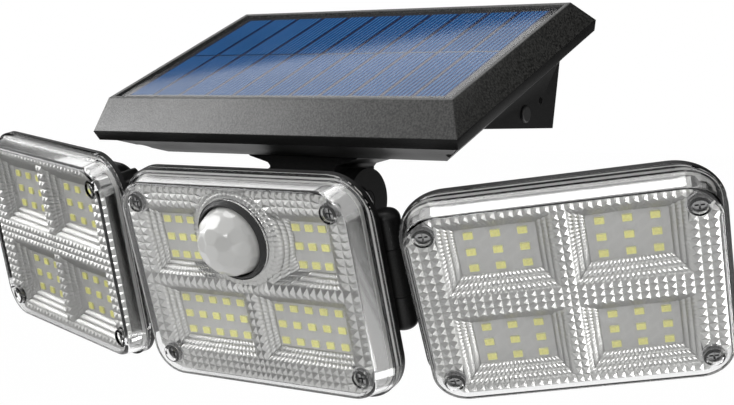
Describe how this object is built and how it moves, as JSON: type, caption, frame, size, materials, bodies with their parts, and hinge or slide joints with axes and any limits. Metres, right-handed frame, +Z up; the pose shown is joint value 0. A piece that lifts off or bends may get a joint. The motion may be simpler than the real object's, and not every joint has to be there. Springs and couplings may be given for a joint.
{
  "type": "motion sensor security light",
  "caption": "Wall-mounted solar security light: a sloping solar panel housing, a motion sensor and three lamp heads that tilt and swivel.",
  "frame": {"origin": "middle of the foot's flat wall face", "axes": "+Y into the wall, +Z up, +X to the right of someone who faces the light"},
  "size_m": [0.3551, 0.1384, 0.154],
  "materials": {
    "frame_plastic": "fine-grained ABS",
    "black_plastic": "fine-grained black ABS",
    "clear_plastic": "clear polished polycarbonate",
    "panel_face": "clear laminate",
    "plated_plastic": "vacuum-metallised plastic",
    "silicon": "anti-reflective coated silicon",
    "panel_board": "dark laminate",
    "seal_rubber": "moulded silicone",
    "steel": "zinc-plated",
    "black_steel": "blackened",
    "brass": "knurled insert",
    "control_board": "glass-epoxy laminate with solder mask",
    "battery_skin": "sleeved steel can, as dense as aluminium overall",
    "holder_plastic": "moulded",
    "switch_plastic": "moulded",
    "button_plastic": "soft-touch",
    "light_pipe": "frosted clear plastic",
    "led_board": "white solder mask",
    "led": "yellow phosphor in a white package",
    "dome_plastic": "milky polyethylene lens",
    "ring_plastic": "dark grey moulding"
  },
  "bodies": {
    "root": {"upper_frame": "frame_plastic", "panel_glaze": "panel_face", "solar_cells": "silicon", "panel_backing": "panel_board", "lower_shell": "black_plastic", "housing_seal": "seal_rubber", "case_screws": "steel", "control_board": "control_board", "battery_cells": "battery_skin", "battery_holder": "holder_plastic", "button_switch": "switch_plastic", "charge_light": "light_pipe", "neck": "black_plastic", "neck_screws": "steel"},
    "mode_button": {"mode_button": "button_plastic"},
    "centre_head": {"centre_rear_housing": "black_plastic", "centre_gasket": "seal_rubber", "centre_led_board": "led_board", "centre_leds": "led", "centre_reflector": "plated_plastic", "centre_cover": "clear_plastic", "centre_screws": "steel", "sensor_dome": "dome_plastic", "sensor_ring": "ring_plastic", "sensor_element": "steel", "head_bracket": "black_plastic", "bracket_screws": "steel", "tilt_bolt": "black_steel", "tilt_nut": "steel", "tilt_washers": "steel", "right_swivel_pin": "black_steel", "left_swivel_pin": "black_steel"},
    "right_arm": {"right_arm": "black_plastic", "right_tilt_bolt": "black_steel", "right_tilt_insert": "brass"},
    "right_head": {"right_rear_housing": "black_plastic", "right_gasket": "seal_rubber", "right_led_board": "led_board", "right_leds": "led", "right_reflector": "plated_plastic", "right_cover": "clear_plastic", "right_screws": "steel"},
    "left_arm": {"left_arm": "black_plastic", "left_tilt_bolt": "black_steel", "left_tilt_insert": "brass"},
    "left_head": {"left_rear_housing": "black_plastic", "left_gasket": "seal_rubber", "left_led_board": "led_board", "left_leds": "led", "left_reflector": "plated_plastic", "left_cover": "clear_plastic", "left_screws": "steel"}
  },
  "joints": [
    {"name": "centre_tilt", "type": "hinge", "parent": "root", "child": "centre_head", "pos_m": [0, -0.0685, -0.044], "axis": [1, 0, 0], "range_deg": [-6, 50]},
    {"name": "right_swivel", "type": "hinge", "parent": "centre_head", "child": "right_arm", "pos_m": [0.058, -0.09895, -0.07], "axis": [0, -0.3223, 0.9466], "range_deg": [-26, 19]},
    {"name": "right_tilt", "type": "hinge", "parent": "right_arm", "child": "right_head", "pos_m": [0.11114, -0.06388, -0.05806], "axis": [-0.8988, -0.415, -0.1413], "range_deg": [-11, 20]},
    {"name": "left_swivel", "type": "hinge", "parent": "centre_head", "child": "left_arm", "pos_m": [-0.058, -0.09895, -0.07], "axis": [0, 0.3223, -0.9466], "range_deg": [-16, 22]},
    {"name": "left_tilt", "type": "hinge", "parent": "left_arm", "child": "left_head", "pos_m": [-0.11676, -0.07315, -0.06122], "axis": [-0.9613, 0.2609, 0.0888], "range_deg": [-28, 5]},
    {"name": "button_press", "type": "slide", "parent": "root", "child": "mode_button", "axis": [-1, 0, 0], "range_m": [0, 0.0008], "stiffness_N_per_m": 400, "springref_m": -0.0005}
  ]
}
